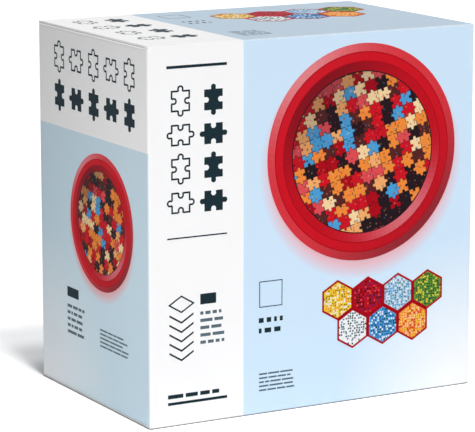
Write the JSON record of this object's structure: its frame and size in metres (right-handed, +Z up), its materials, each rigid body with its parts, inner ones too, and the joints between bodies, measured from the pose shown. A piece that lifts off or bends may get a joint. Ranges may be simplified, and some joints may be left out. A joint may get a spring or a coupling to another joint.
{
  "type": "boxed puzzle sorter",
  "caption": "Folding carton with tuck-in lids holding a nested stack of jigsaw-shaped sorting trays that lift out of its top.",
  "frame": {"origin": "middle of the carton's base, on the surface that it stands on", "axes": "+Z up, -Y out of the front panel, +X towards the right panel seen from the front"},
  "size_m": [0.199, 0.13, 0.2],
  "materials": {
    "printed_board": "coated and printed folding boxboard, satin varnish",
    "plain_board": "uncoated inside of the board, matt",
    "tray_plastic": "glossy injection-moulded plastic"
  },
  "bodies": {
    "carton": {"carton_front": "printed_board", "carton_left": "printed_board", "carton_back": "printed_board", "carton_right": "printed_board", "glue_flap": "plain_board"},
    "top_lid": {"top_lid": "printed_board"},
    "top_tuck_flap": {"top_tuck_flap": "plain_board"},
    "top_dust_flap_left": {"top_dust_flap_left": "plain_board"},
    "top_dust_flap_right": {"top_dust_flap_right": "plain_board"},
    "bottom_lid": {"bottom_lid": "printed_board"},
    "bottom_tuck_flap": {"bottom_tuck_flap": "plain_board"},
    "bottom_dust_flap_left": {"bottom_dust_flap_left": "plain_board"},
    "bottom_dust_flap_right": {"bottom_dust_flap_right": "plain_board"},
    "tray_1": {"tray_1": "tray_plastic"},
    "tray_2": {"tray_2": "tray_plastic"},
    "tray_3": {"tray_3": "tray_plastic"},
    "tray_4": {"tray_4": "tray_plastic"},
    "tray_5": {"tray_5": "tray_plastic"},
    "tray_6": {"tray_6": "tray_plastic"}
  },
  "joints": [
    {"name": "top_lid_hinge", "type": "hinge", "parent": "carton", "child": "top_lid", "pos_m": [0, 0.06495, 0.2], "axis": [-1, 0, 0], "range_deg": [0, 180]},
    {"name": "top_tuck_hinge", "type": "hinge", "parent": "top_lid", "child": "top_tuck_flap", "pos_m": [0, -0.06365, 0.2], "axis": [-1, 0, 0], "range_deg": [0, 81]},
    {"name": "top_dust_left_hinge", "type": "hinge", "parent": "carton", "child": "top_dust_flap_left", "pos_m": [-0.0995, 0, 0.1988], "axis": [0, -1, 0], "range_deg": [0, 180]},
    {"name": "top_dust_right_hinge", "type": "hinge", "parent": "carton", "child": "top_dust_flap_right", "pos_m": [0.0995, 0, 0.1988], "axis": [0, 1, 0], "range_deg": [0, 180]},
    {"name": "bottom_lid_hinge", "type": "hinge", "parent": "carton", "child": "bottom_lid", "pos_m": [0, 0.06495, 0], "axis": [1, 0, 0], "range_deg": [0, 180]},
    {"name": "bottom_tuck_hinge", "type": "hinge", "parent": "bottom_lid", "child": "bottom_tuck_flap", "pos_m": [0, -0.06365, 0], "axis": [1, 0, 0], "range_deg": [0, 81]},
    {"name": "bottom_dust_left_hinge", "type": "hinge", "parent": "carton", "child": "bottom_dust_flap_left", "pos_m": [-0.0995, 0, 0.0012], "axis": [0, 1, 0], "range_deg": [0, 180]},
    {"name": "bottom_dust_right_hinge", "type": "hinge", "parent": "carton", "child": "bottom_dust_flap_right", "pos_m": [0.0995, 0, 0.0012], "axis": [0, -1, 0], "range_deg": [0, 180]},
    {"name": "tray_1_lift", "type": "slide", "parent": "carton", "child": "tray_1", "axis": [0, 0, 1], "range_m": [0, 0.088]},
    {"name": "tray_2_lift", "type": "slide", "parent": "carton", "child": "tray_2", "axis": [0, 0, 1], "range_m": [0, 0.088]},
    {"name": "tray_3_lift", "type": "slide", "parent": "carton", "child": "tray_3", "axis": [0, 0, 1], "range_m": [0, 0.088]},
    {"name": "tray_4_lift", "type": "slide", "parent": "carton", "child": "tray_4", "axis": [0, 0, 1], "range_m": [0, 0.088]},
    {"name": "tray_5_lift", "type": "slide", "parent": "carton", "child": "tray_5", "axis": [0, 0, 1], "range_m": [0, 0.088]},
    {"name": "tray_6_lift", "type": "slide", "parent": "carton", "child": "tray_6", "axis": [0, 0, 1], "range_m": [0, 0.088]}
  ],
  "couplings": [
    {"joint": "top_tuck_hinge", "follows": "top_lid_hinge", "ratio": 0.45},
    {"joint": "top_dust_left_hinge", "follows": "top_lid_hinge", "ratio": 1},
    {"joint": "top_dust_right_hinge", "follows": "top_lid_hinge", "ratio": 1},
    {"joint": "bottom_tuck_hinge", "follows": "bottom_lid_hinge", "ratio": 0.45},
    {"joint": "bottom_dust_left_hinge", "follows": "bottom_lid_hinge", "ratio": 1},
    {"joint": "bottom_dust_right_hinge", "follows": "bottom_lid_hinge", "ratio": 1},
    {"joint": "tray_1_lift", "follows": "top_lid_hinge", "m_per_rad": 0.028},
    {"joint": "tray_2_lift", "follows": "top_lid_hinge", "m_per_rad": 0.028},
    {"joint": "tray_3_lift", "follows": "top_lid_hinge", "m_per_rad": 0.028},
    {"joint": "tray_4_lift", "follows": "top_lid_hinge", "m_per_rad": 0.028},
    {"joint": "tray_5_lift", "follows": "top_lid_hinge", "m_per_rad": 0.028},
    {"joint": "tray_6_lift", "follows": "top_lid_hinge", "m_per_rad": 0.028}
  ]
}
